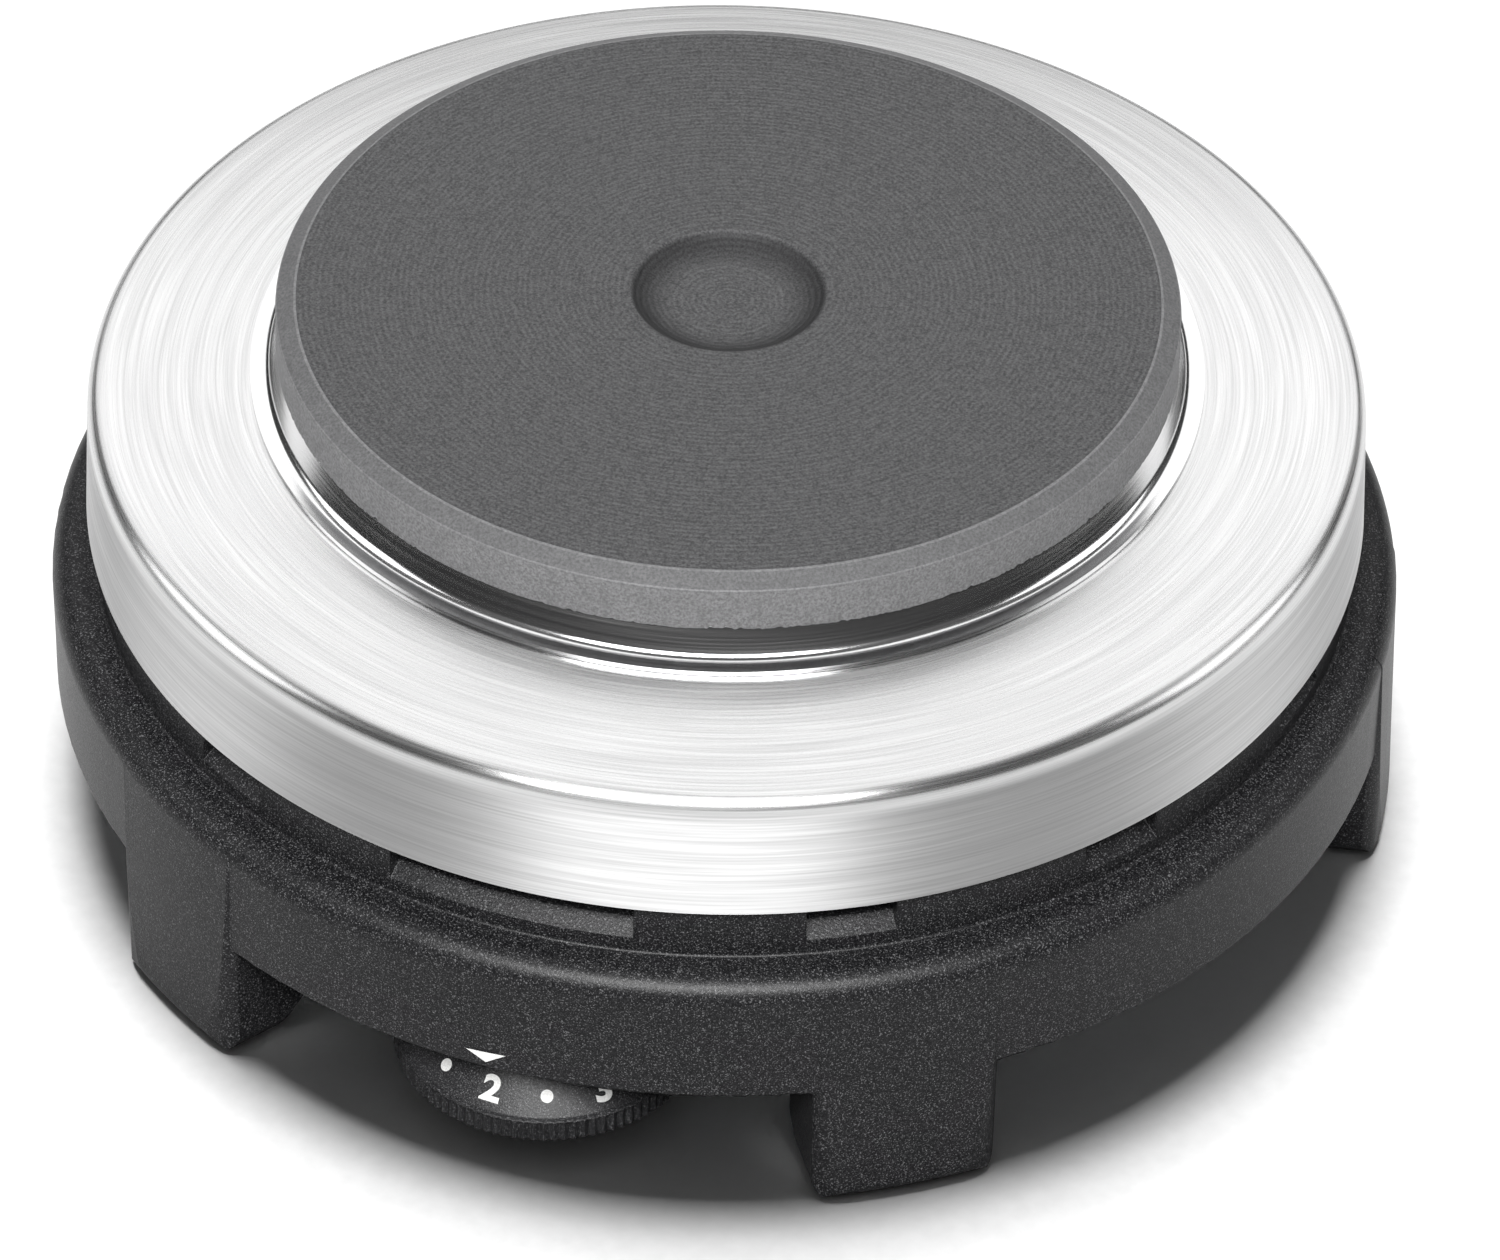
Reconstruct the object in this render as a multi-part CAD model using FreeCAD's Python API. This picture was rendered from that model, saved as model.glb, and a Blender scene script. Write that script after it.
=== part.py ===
import FreeCAD, Part

import math
import os

# Small round electric hot plate: a cast-iron plate clamped on a steel cover and a moulded
# base with five legs, with a thermostat dial under the front edge.
# Millimetres. +Z is up, the feet stand on z = 0, the plate's axis is x = y = 0 and the
# dial is at the front, at -Y. Azimuths are degrees from -Y towards +X.

Vec = FreeCAD.Vector

# ---- driving dimensions: casing, from the ground up ----
LEG_HEIGHT = 12.4
WALL_HEIGHT = 12.9
NECK_SHOWN = 5.5
SKIRT_HEIGHT = 12.1
COVER_FALL = 1.3
RING_RISE = 3.45
RIM_HEIGHT = 4.85
BASE_DIAMETER = 122.0
WALL_THICKNESS = 3.0
SHOULDER_STEP = 4.2
SHOULDER_RADIUS = 2.4
NECK_TAPER = 0.6
NECK_FOOT_FILLET = 0.3
NECK_THICKNESS = 3.1

# ---- legs, vents and bosses of the base ----
LEG_AZIMUTHS = (34.2, 101.0, 180.0, -101.0, -33.2)
LEG_WIDTH = 16.6
LEG_DEPTH = 9.0
LEG_PROUD = 1.0
LEG_SOLE_INSET = 3.6
LEG_SOLE_ROUNDING = 1.8
LEG_SIDE_ROUNDING = 2.2
LEG_FOOT_ROUNDING = 2.2
LEG_FRONT_FALL = 1.1
LEG_FRONT_CROWN = 8.0
LEG_BACK_ROUNDING = 2.0
LEG_DRAFT = 0.1
VENT_HEIGHT = 3.3
VENT_SILL = 1.5
VENT_SILL_RISE = 1.1
VENT_SILL_DEPTH = 1.6
VENT_WIDTH = 8.0
VENT_FRONT_WIDTH = 22.6
VENT_AZIMUTHS = (30.0, 56.0, 82.0, 108.0, 134.0, 160.0)
BOSS_AZIMUTHS = (67.4, 140.5, -140.5, -67.4)
BOSS_RADIUS = 4.0
LEDGE_THICKNESS = 3.0
LEDGE_DEPTH = 5.5
LEDGE_WIDTH = 16.0

# ---- cooking plate ----
PLATE_DIAMETER = 80.0
BEVEL_WIDTH = 1.7
BEVEL_HEIGHT = 0.9
PLATE_DRAFT = 0.1
RECESS_RADIUS = 8.7
RECESS_DEPTH = 1.2
RECESS_WALL_RUN = 1.4
RECESS_LIP = 0.2
PLATE_SLAB = 6.0
PLATE_DEPTH = 11.5
SKIRT_INSET = 2.0
SKIRT_WALL = 3.8
CENTRE_BOSS_RADIUS = 9.8
RIB_WIDTH = 2.6
RIB_GAP = 0.5
CHANNELS = 3
COIL_RADIUS = 1.3
COIL_SWEEP = 350.0

# ---- sheet parts ----
SHEET = 0.6
RING_SHEET = 0.5
RING_OVERHANG = 2.4
RING_TUCK = 0.9
RING_TOP_BEND = 0.8
RING_FOOT = 1.65
RING_FOOT_BEND = 1.4
COVER_HOLE_INSET = 1.0
COVER_EDGE_RADIUS = 1.3
SHIELD_SHEET = 0.5
SHIELD_MARGIN = 1.0
BASE_PLATE_SHEET = 1.0
BASE_PLATE_RECESS = 2.2
BASE_PLATE_MARGIN = 0.8
LEG_NOTCH_GAP = 0.4
SLOT_COUNT = 12
SLOT_WIDTH = 3.0
SLOT_INNER_RADIUS = 10.0
SLOT_OUTER_RADIUS = 20.0

# ---- stud, nuts and clamp bar ----
STUD_RADIUS = 3.0
STUD_BITE = 4.8
STUD_TAIL = 2.0
NUT_FLATS = 10.0
THIN_NUT = 2.5
CLAMP_NUT = 3.5
WASHER_RADIUS = 6.0
WASHER_THICKNESS = 0.8
BAR_THICKNESS = 1.5
BAR_WIDTH = 12.0
BAR_DROP = 1.9
BAR_END_GAP = 1.4

# ---- dial and spindle ----
DIAL_DIAMETER = 27.2
DIAL_SETBACK = 14.2
DIAL_GROUND_GAP = 4.0
DIAL_RIM_HEIGHT = 2.4
DIAL_CONE_HEIGHT = 4.0
DIAL_LIP = 0.5
DIAL_WALL = 1.5
DIAL_HUB_RADIUS = 6.0
DIAL_CORE_RADIUS = 5.0
DIAL_CORE_RISE = 2.0
KNURL_RIBS = 96
KNURL_DEPTH = 0.35
SPINDLE_RADIUS = 2.5
BUSH_RADIUS = 4.0
BUSH_FLANGE_RADIUS = 5.5
BUSH_RISE = 4.0
RUNNING_CLEARANCE = 0.05
SMALL_GAP = 0.2
WAVE_WASHER = 0.8

# ---- thermostat ----
FRAME_SHEET = 1.2
FRAME_WIDTH = 8.0
FRAME_RISE = 7.2
FRAME_OVERHANG = 3.5
STACK_SETBACK = 15.8
STACK_LENGTH = 8.0
SHIELD_CLEARANCE = 2.6
BLADE_WIDTH = 5.0
BLADE_SHEET = 0.4
BIMETAL_SHEET = 0.6
BLADE_REACH = 3.2
TAB_LENGTH = 5.0
TAB_WIDTH = 3.0
PIN_RADIUS = 1.2
PIN_GAP = 0.4
CONTACT_RADIUS = 1.4
CONTACT_GAP = 0.3

# ---- screws ----
SCREW_RADIUS = 1.5
SCREW_HEAD_RADIUS = 2.8
SCREW_HEAD_HEIGHT = 1.6
SCREW_HOLE_GAP = 0.2
SCREW_SLOT_WIDTH = 0.8
SCREW_SLOT_DEPTH = 0.8
BASE_SCREW_BITE = 6.0

# ---- terminals, cut-out and leads ----
PIN_OFFSET = 6.5
TERMINAL_PIN_RADIUS = 1.2
TERMINAL_PIN_TAIL = 4.0
CERAMIC_LENGTH = 20.0
CERAMIC_DEPTH = 8.0
CERAMIC_HEIGHT = 8.0
WINDOW_GAP = 1.0
BLOCK_WIDTH = 22.0
BLOCK_DEPTH = 10.0
BLOCK_HEIGHT = 10.0
BLOCK_SETBACK = 6.6
BLOCK_BORE_RADIUS = 1.6
LEAD_HEIGHT = 4.0
LEAD_RADIUS = 1.1
CUTOUT_RADIUS = 6.0
CUTOUT_HEIGHT = 5.5
CUTOUT_X = 21.0
CUTOUT_Y = 16.0
CUTOUT_TAB_OFFSET = 4.0
CUTOUT_TAB_DROP = 4.0
TAB_SHEET = 0.8
EARTH_X = 12.0
EARTH_Y = 12.0
EARTH_TAB_WIDTH = 6.0
EARTH_TAB_HEIGHT = 6.4
EARTH_TAB_FOOT = 8.0

# ---- cord gland ----
GLAND_BORE_RADIUS = 3.3
GLAND_NECK_RADIUS = 4.3
GLAND_FLANGE_RADIUS = 5.2
GLAND_FLANGE = 1.8
GLAND_SEAT_INSET = 1.4
GLAND_WALL = 3.4
GLAND_RISE = 7.2

# ---- levels worked out from the driving dimensions ----
wall_top = LEG_HEIGHT + WALL_HEIGHT
skirt_bottom = wall_top + NECK_SHOWN
cover_edge = skirt_bottom + SKIRT_HEIGHT
cover_top = cover_edge + COVER_FALL
rim_bottom = cover_top + RING_RISE
plate_top = rim_bottom + RIM_HEIGHT
slab_bottom = plate_top - PLATE_SLAB
plate_bottom = plate_top - PLATE_DEPTH
rib_bottom = plate_bottom + RIB_GAP
sheet_bottom = plate_bottom - SHEET
shield_top = sheet_bottom - THIN_NUT
shield_bottom = shield_top - SHIELD_SHEET
bar_top = shield_bottom - THIN_NUT - BAR_DROP
bar_bottom = bar_top - BAR_THICKNESS
clamp_nut_bottom = bar_bottom - WASHER_THICKNESS - CLAMP_NUT
floor_bottom = LEG_HEIGHT + BASE_PLATE_RECESS
floor_top = floor_bottom + BASE_PLATE_SHEET

# ---- radii worked out from the driving dimensions ----
wall_radius = BASE_DIAMETER / 2
wall_inside = wall_radius - WALL_THICKNESS
neck_radius = wall_radius - SHOULDER_STEP
neck_top_radius = neck_radius - NECK_TAPER
neck_inside = neck_radius - NECK_THICKNESS
neck_top_inside = neck_top_radius - NECK_THICKNESS
plate_radius = PLATE_DIAMETER / 2
skirt_radius = plate_radius - SKIRT_INSET
skirt_inside = skirt_radius - SKIRT_WALL
ring_radius = plate_radius + RING_OVERHANG
cover_radius = neck_radius + SMALL_GAP / 2 + SHEET
cover_corner_radius = cover_radius - NECK_TAPER
cover_hole = plate_radius - COVER_HOLE_INSET
channel_pitch = (skirt_inside - CENTRE_BOSS_RADIUS + RIB_WIDTH) / CHANNELS
channel_width = channel_pitch - RIB_WIDTH
channel_radii = [
    CENTRE_BOSS_RADIUS + channel_width / 2 + channel_pitch * i for i in range(CHANNELS)
]
dial_radius = DIAL_DIAMETER / 2
dial_y = -(wall_radius - DIAL_SETBACK)
boss_circle = wall_inside - BOSS_RADIUS + WALL_THICKNESS / 6
stack_y = dial_y + STACK_SETBACK
pins_y = math.sqrt(channel_radii[1] ** 2 - PIN_OFFSET**2)
block_y = pins_y + BLOCK_SETBACK
lead_z = floor_top + LEAD_HEIGHT
gland_z = LEG_HEIGHT + GLAND_RISE
gland_seat = wall_radius + LEG_PROUD - GLAND_SEAT_INSET

# ---- heights of the thermostat stack, between its frame and the heat shield ----
arm_top = floor_top + FRAME_RISE + FRAME_SHEET
stack_top = shield_bottom - SHIELD_CLEARANCE - SCREW_HEAD_HEIGHT
spacer = (stack_top - arm_top - 2 * BLADE_SHEET - BIMETAL_SHEET) / 4
moving_z = arm_top + spacer
fixed_z = moving_z + BLADE_SHEET + spacer
bimetal_z = fixed_z + BLADE_SHEET + spacer


# ---- small helpers ----
def outline(corners, place):
    """Closed wire through (a, b, radius) corners, each rounded by its own radius."""
    spans = []
    for i, (a, b, radius) in enumerate(corners):
        here = Vec(a, b, 0)
        before = Vec(*corners[i - 1][:2], 0)
        after = Vec(*corners[(i + 1) % len(corners)][:2], 0)
        if radius <= 0:
            spans.append((here, None, here))
            continue
        back = (before - here).normalize()
        on = (after - here).normalize()
        half = back.getAngle(on) / 2
        inward = (back + on).normalize()
        reach = radius / math.tan(half)
        middle = here + inward * (radius / math.sin(half) - radius)
        spans.append((here + back * reach, middle, here + on * reach))
    edges = []
    for i, (start, middle, end) in enumerate(spans):
        if middle is not None:
            edges.append(Part.Arc(*[place(p) for p in (start, middle, end)]).toShape())
        following = spans[(i + 1) % len(spans)][0]
        if end.distanceToPoint(following) > 1e-6:
            edges.append(Part.LineSegment(place(end), place(following)).toShape())
    return Part.Wire(edges)


def lathe(corners, x=0.0, y=0.0):
    """Solid turned about a vertical axis from a section of (radius, height, rounding)."""
    wire = outline(corners, lambda p: Vec(x + p.x, y, p.y))
    return Part.Face(wire).revolve(Vec(x, y, 0), Vec(0, 0, 1), 360)


def bent_sheet(points, thickness):
    """Section corners of a bent sheet from its middle line of (a, b, bend radius)."""
    line = [Vec(a, b, 0) for a, b, _ in points]
    sides = []
    for half in (thickness / 2, -thickness / 2):
        side = []
        for i, here in enumerate(line):
            ways = []
            if i > 0:
                ways.append((here - line[i - 1]).normalize())
            if i < len(line) - 1:
                ways.append((line[i + 1] - here).normalize())
            normals = [Vec(-way.y, way.x, 0) for way in ways]
            mitre = (normals[0] + normals[-1]).normalize()
            corner = here + mitre * (half / mitre.dot(normals[0]))
            turn = ways[0].cross(ways[-1]).z
            bend = points[i][2]
            if bend > 0:
                bend -= math.copysign(half, turn * half)
            side.append((corner.x, corner.y, bend))
        sides.append(side)
    return sides[0] + sides[1][::-1]


def rod(radius, bottom, top, x=0.0, y=0.0):
    """Upright cylinder between two heights."""
    return Part.makeCylinder(radius, top - bottom, Vec(x, y, bottom))


def tube(inside, outside, bottom, top, x=0.0, y=0.0):
    """Upright ring between two heights."""
    return rod(outside, bottom, top, x, y).cut(rod(inside, bottom, top, x, y))


def bar_y(radius, start, end, x, z):
    """Cylinder along +Y between two places."""
    return Part.makeCylinder(radius, end - start, Vec(x, start, z), Vec(0, 1, 0))


def block(x, y, z):
    """Box from (low, high) pairs."""
    size = [high - low for low, high in (x, y, z)]
    return Part.makeBox(*size, Vec(x[0], y[0], z[0]))


def turned(shape, azimuth):
    """Copy of a front-facing shape, turned about the main axis to an azimuth."""
    copy = shape.copy()
    copy.rotate(Vec(0, 0, 0), Vec(0, 0, 1), azimuth)
    return copy


def at_azimuth(radius, azimuth):
    """Point at a radius and azimuth, in plan."""
    angle = math.radians(azimuth)
    return radius * math.sin(angle), -radius * math.cos(angle)


def hex_nut(flats, bore, bottom, top):
    """Plain hexagon nut on the main axis."""
    corner = flats / math.sqrt(3)
    points = [Vec(*at_azimuth(corner, 60 * i), bottom) for i in range(7)]
    prism = Part.Face(Part.makePolygon(points)).extrude(Vec(0, 0, top - bottom))
    return prism.cut(rod(bore, bottom, top))


def screw_up(x, y, seat, length):
    """Pan-head screw driven upwards, with its head under the seat."""
    head = lathe(
        [
            (0, seat, 0),
            (SCREW_HEAD_RADIUS, seat, 0),
            (SCREW_HEAD_RADIUS, seat - SCREW_HEAD_HEIGHT, SCREW_HEAD_HEIGHT / 2),
            (0, seat - SCREW_HEAD_HEIGHT, 0),
        ],
        x,
        y,
    )
    slot = block(
        (x - SCREW_HEAD_RADIUS, x + SCREW_HEAD_RADIUS),
        (y - SCREW_SLOT_WIDTH / 2, y + SCREW_SLOT_WIDTH / 2),
        (seat - SCREW_HEAD_HEIGHT, seat - SCREW_HEAD_HEIGHT + SCREW_SLOT_DEPTH),
    )
    return head.fuse(rod(SCREW_RADIUS, seat, seat + length, x, y)).cut(slot)


def lead(points):
    """Insulated lead along straight runs joined by tangent arcs."""
    points = [Vec(*p) for p in points]
    edges = []
    start = points[0]
    for before, here, after in zip(points, points[1:], points[2:]):
        back = before - here
        on = after - here
        shorter = min(back.Length, on.Length)
        half = back.getAngle(on) / 2
        reach = 0.45 * shorter
        back.normalize()
        on.normalize()
        inward = (back + on).normalize()
        radius = reach * math.tan(half)
        middle = here + inward * (radius / math.sin(half) - radius)
        edges.append(Part.LineSegment(start, here + back * reach).toShape())
        start = here + on * reach
        edges.append(Part.Arc(here + back * reach, middle, start).toShape())
    edges.append(Part.LineSegment(start, points[-1]).toShape())
    path = Part.Wire(edges)
    section = Part.Wire(Part.makeCircle(LEAD_RADIUS, points[0], points[1] - points[0]))
    return path.makePipeShell([section], True, False)


# ---- cooking plate and what it carries ----
def hotplate():
    """Machined iron casting with ring channels for the coils underneath."""
    bevel_radius = plate_radius - BEVEL_WIDTH
    wall = math.hypot(RECESS_WALL_RUN, RECESS_DEPTH)
    wall_slope = math.atan2(RECESS_DEPTH, RECESS_WALL_RUN)
    dish_rounding = 0.9 * wall / math.tan(wall_slope / 2)
    iron = lathe(
        [
            (0, plate_top - RECESS_DEPTH, 0),
            (RECESS_RADIUS - RECESS_WALL_RUN, plate_top - RECESS_DEPTH, dish_rounding),
            (RECESS_RADIUS, plate_top, RECESS_LIP),
            (bevel_radius, plate_top, 0),
            (plate_radius, plate_top - BEVEL_HEIGHT, 0),
            (plate_radius + PLATE_DRAFT, rim_bottom, 0),
            (skirt_radius, rim_bottom, 0),
            (skirt_radius, plate_bottom, 0),
            (0, plate_bottom, 0),
        ]
    )
    for radius in channel_radii:
        inside = radius - channel_width / 2
        iron = iron.cut(tube(inside, inside + channel_width, plate_bottom, slab_bottom))
    ribs = tube(CENTRE_BOSS_RADIUS, skirt_inside, plate_bottom, rib_bottom)
    stud_hole = rod(STUD_RADIUS, plate_bottom, plate_bottom + STUD_BITE)
    return iron.cut(ribs).cut(stud_hole)


def coil_rings():
    """One heating coil per channel, each an open ring."""
    height = (slab_bottom + rib_bottom) / 2 + COIL_RADIUS / 2
    rings = []
    for radius in channel_radii:
        ring = Part.makeTorus(
            radius, COIL_RADIUS, Vec(0, 0, height), Vec(0, 0, 1), 0, 360, COIL_SWEEP
        )
        ring.rotate(Vec(0, 0, 0), Vec(0, 0, 1), -90 + (360 - COIL_SWEEP) / 2)
        rings.append(ring)
    return Part.makeCompound(rings)


def terminal_pins():
    """Two pins from the middle channel down through the ceramic block."""
    top = (slab_bottom + rib_bottom) / 2 - COIL_RADIUS
    bottom = sheet_bottom - CERAMIC_HEIGHT - TERMINAL_PIN_TAIL
    pins = [rod(TERMINAL_PIN_RADIUS, bottom, top, x, pins_y) for x in (-PIN_OFFSET, PIN_OFFSET)]
    return Part.makeCompound(pins)


def coil_cement(coils, pins):
    """Ceramic filling of the channels, up to the middle of the coils."""
    height = (slab_bottom + rib_bottom) / 2 + COIL_RADIUS / 2
    rings = []
    for radius in channel_radii:
        inside = radius - channel_width / 2
        ring = tube(inside, inside + channel_width, rib_bottom, height)
        rings.append(ring.cut(coils).cut(pins))
    return Part.makeCompound(rings)


def plate_cover_sheet():
    """Steel disc that closes the underside of the casting."""
    sheet = tube(STUD_RADIUS, skirt_radius, sheet_bottom, plate_bottom)
    for x in (-PIN_OFFSET, PIN_OFFSET):
        hole = TERMINAL_PIN_RADIUS + SMALL_GAP * 2
        sheet = sheet.cut(rod(hole, sheet_bottom, plate_bottom, x, pins_y))
    return sheet


def plate_terminal_block(pins):
    """Ceramic block on the underside of the plate."""
    half = CERAMIC_LENGTH / 2
    depth = CERAMIC_DEPTH / 2
    body = block(
        (-half, half),
        (pins_y - depth, pins_y + depth),
        (sheet_bottom - CERAMIC_HEIGHT, sheet_bottom),
    )
    return body.cut(pins)


def heat_shield():
    """Reflecting disc under the plate, with a window for the ceramic block."""
    shield = tube(STUD_RADIUS, neck_top_inside - SHIELD_MARGIN, shield_bottom, shield_top)
    half = CERAMIC_LENGTH / 2 + WINDOW_GAP
    depth = CERAMIC_DEPTH / 2 + WINDOW_GAP
    window = block(
        (-half, half), (pins_y - depth, pins_y + depth), (shield_bottom, shield_top)
    )
    return shield.cut(window)


def clamp_bar():
    """Flat bar whose ends pull up on the two ledges of the base."""
    end = neck_top_inside - BAR_END_GAP
    half = BAR_WIDTH / 2
    bar = block((-end, end), (-half, half), (bar_bottom, bar_top))
    return bar.cut(rod(STUD_RADIUS + SMALL_GAP, bar_bottom, bar_top))


def trim_ring():
    """Thin overflow ring from under the plate's rim out to the cover."""
    middle = RING_SHEET / 2
    flange = rim_bottom - middle
    foot = cover_top + middle + SMALL_GAP / 2
    section = bent_sheet(
        [
            (skirt_radius + SMALL_GAP * 2, flange, 0),
            (plate_radius - RING_TUCK, flange, RING_TOP_BEND),
            (ring_radius - RING_FOOT, foot, RING_FOOT_BEND),
            (ring_radius, foot - SMALL_GAP / 4, 0),
        ],
        RING_SHEET,
    )
    return lathe(section)


def cover_surface(radius):
    """Height of the cover's sloping top at a radius."""
    fall = COVER_FALL / (cover_corner_radius - ring_radius)
    return cover_top - fall * (radius - ring_radius)


def cover_underside(radius):
    """Height of the underside of the cover's sloping top at a radius."""
    return cover_surface(radius) - SHEET


def top_cover():
    """Pressed steel cover: sloping top, rounded edge and tall skirt."""
    corner_inside = cover_corner_radius - SHEET
    return lathe(
        [
            (cover_hole, cover_surface(cover_hole), 0),
            (cover_corner_radius, cover_edge, COVER_EDGE_RADIUS),
            (cover_radius, skirt_bottom, 0),
            (cover_radius - SHEET, skirt_bottom, 0),
            (corner_inside, cover_underside(corner_inside), COVER_EDGE_RADIUS - SHEET),
            (cover_hole, cover_underside(cover_hole), 0),
        ]
    )


# ---- base ----
def leg():
    """One leg at the front: the wall carried down to the floor and flared a little."""
    outer = wall_radius + LEG_PROUD
    inner = outer - LEG_DEPTH
    merge = wall_inside + WALL_THICKNESS / 3
    half = LEG_WIDTH / 2
    side = outline(
        [
            (outer + LEG_PROUD, 0, 0),
            (outer + LEG_PROUD, wall_top, 0),
            (merge, wall_top, 0),
            (merge, floor_top, 0),
            (inner, floor_top, 0),
            (inner, LEG_SOLE_INSET, LEG_BACK_ROUNDING),
            (inner + LEG_SOLE_INSET, 0, LEG_BACK_ROUNDING),
        ],
        lambda p: Vec(-LEG_WIDTH, -p.x, p.y),
    )
    depth_prism = Part.Face(side).extrude(Vec(2 * LEG_WIDTH, 0, 0))
    front = outline(
        [
            (-half + LEG_DRAFT, 0, LEG_FOOT_ROUNDING),
            (half - LEG_DRAFT, 0, LEG_FOOT_ROUNDING),
            (half, wall_top, 0),
            (-half, wall_top, 0),
        ],
        lambda p: Vec(p.x, -2 * wall_radius, p.y),
    )
    width_prism = Part.Face(front).extrude(Vec(0, 2 * wall_radius, 0))
    edge = half + LEG_DRAFT
    plan = outline(
        [
            (-edge, -outer + LEG_FRONT_FALL, LEG_SIDE_ROUNDING),
            (-half / 2, -outer, LEG_FRONT_CROWN),
            (half / 2, -outer, LEG_FRONT_CROWN),
            (edge, -outer + LEG_FRONT_FALL, LEG_SIDE_ROUNDING),
            (edge, -inner + LEG_DEPTH, 0),
            (-edge, -inner + LEG_DEPTH, 0),
        ],
        lambda p: Vec(p.x, p.y, 0),
    )
    plan_prism = Part.Face(plan).extrude(Vec(0, 0, wall_top))
    envelope = lathe(
        [
            (0, 0, 0),
            (outer, 0, LEG_SOLE_ROUNDING),
            (wall_radius - LEG_PROUD / 10, wall_top, SHOULDER_RADIUS),
            (0, wall_top, 0),
        ]
    )
    return depth_prism.common(width_prism).common(plan_prism).common(envelope)


def vent_cut(width, azimuth):
    """Cut for a window through the neck, over a sill that rises inwards."""
    outside = neck_radius + 1.0
    inside = neck_inside - 1.0
    sill = wall_top + VENT_SILL
    inner_sill = sill + VENT_SILL_RISE
    lintel = sill + VENT_HEIGHT
    corners = [
        (inside, inner_sill, 0),
        (neck_radius - VENT_SILL_DEPTH, inner_sill, 0),
        (neck_radius, sill, 0),
        (outside, sill, 0),
        (outside, lintel, 0),
        (inside, lintel, 0),
    ]
    degrees = math.degrees(width / outside)
    wire = outline(corners, lambda p: Vec(0, -p.x, p.y))
    wedge = Part.Face(wire).revolve(Vec(0, 0, 0), Vec(0, 0, 1), degrees)
    return turned(wedge, azimuth - degrees / 2)


def base_housing():
    """Moulded ring: wall, rounded shoulder, vented neck, legs, bosses and ledges."""
    body = lathe(
        [
            (wall_inside, LEG_HEIGHT, 0.4),
            (wall_radius, LEG_HEIGHT, 0.6),
            (wall_radius - 0.1, wall_top, SHOULDER_RADIUS),
            (neck_radius, wall_top, NECK_FOOT_FILLET),
            (neck_top_radius, cover_underside(neck_top_radius), COVER_EDGE_RADIUS),
            (neck_top_inside, cover_underside(neck_top_inside), 0),
            (neck_inside, wall_top - WALL_THICKNESS / 2, 0),
            (wall_inside, wall_top - WALL_THICKNESS * 1.5, 0),
        ]
    )
    for azimuth in LEG_AZIMUTHS:
        body = body.fuse(turned(leg(), azimuth))
    for azimuth in BOSS_AZIMUTHS:
        x, y = at_azimuth(boss_circle, azimuth)
        boss = rod(BOSS_RADIUS, floor_top, wall_top - 1.0, x, y)
        body = body.fuse(boss).cut(
            rod(SCREW_RADIUS, floor_top, floor_top + BASE_SCREW_BITE, x, y)
        )
    ledge = block(
        (-LEDGE_WIDTH / 2, LEDGE_WIDTH / 2),
        (-neck_inside - NECK_THICKNESS / 2, -neck_top_inside + LEDGE_DEPTH),
        (bar_top, bar_top + LEDGE_THICKNESS),
    )
    for azimuth in (90, -90):
        body = body.fuse(turned(ledge, azimuth))
    vents = [(azimuth, VENT_WIDTH) for azimuth in VENT_AZIMUTHS]
    vents += [(-azimuth, VENT_WIDTH) for azimuth in VENT_AZIMUTHS]
    vents.append((0.0, VENT_FRONT_WIDTH))
    for azimuth, width in vents:
        body = body.cut(vent_cut(width, azimuth))
    inner_seat = gland_seat - GLAND_WALL
    boss = bar_y(GLAND_FLANGE_RADIUS, inner_seat, gland_seat, 0, gland_z)
    room = bar_y(
        GLAND_FLANGE_RADIUS + SMALL_GAP, inner_seat - LEG_DEPTH, inner_seat, 0, gland_z
    )
    spot_face = bar_y(
        GLAND_FLANGE_RADIUS + SMALL_GAP, gland_seat, gland_seat + 2.0, 0, gland_z
    )
    hole = bar_y(GLAND_NECK_RADIUS, inner_seat, gland_seat, 0, gland_z)
    return body.fuse(boss).cut(room).cut(spot_face).cut(hole).removeSplitter()


def base_plate():
    """Steel disc that closes the base, notched for the legs and slotted for air."""
    disc = rod(wall_inside - BASE_PLATE_MARGIN, floor_bottom, floor_top)
    half = LEG_WIDTH / 2 + LEG_NOTCH_GAP
    inner = wall_radius + LEG_PROUD - LEG_DEPTH - LEG_NOTCH_GAP
    notch = block((-half, half), (-wall_radius, -inner), (floor_bottom, floor_top))
    for azimuth in LEG_AZIMUTHS:
        disc = disc.cut(turned(notch, azimuth))
    for azimuth in BOSS_AZIMUTHS:
        x, y = at_azimuth(boss_circle, azimuth)
        disc = disc.cut(rod(SCREW_RADIUS + SCREW_HOLE_GAP, floor_bottom, floor_top, x, y))
    slot = block(
        (-SLOT_WIDTH / 2, SLOT_WIDTH / 2),
        (-SLOT_OUTER_RADIUS, -SLOT_INNER_RADIUS),
        (floor_bottom, floor_top),
    )
    for radius in (SLOT_OUTER_RADIUS, SLOT_INNER_RADIUS):
        slot = slot.fuse(rod(SLOT_WIDTH / 2, floor_bottom, floor_top, 0, -radius))
    for i in range(SLOT_COUNT):
        disc = disc.cut(turned(slot, 360.0 * i / SLOT_COUNT))
    disc = disc.cut(rod(BUSH_RADIUS, floor_bottom, floor_top, 0, dial_y))
    for x, y in (frame_screw_place(), block_screw_place(), earth_screw_place()):
        disc = disc.cut(rod(SCREW_RADIUS, floor_bottom, floor_top, x, y))
    return disc


def base_plate_screws():
    """The screws that hold the base plate up against its bosses."""
    screws = []
    for azimuth in BOSS_AZIMUTHS:
        x, y = at_azimuth(boss_circle, azimuth)
        length = BASE_PLATE_SHEET + BASE_SCREW_BITE
        screws.append(screw_up(x, y, floor_bottom, length))
    return Part.makeCompound(screws)


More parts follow.
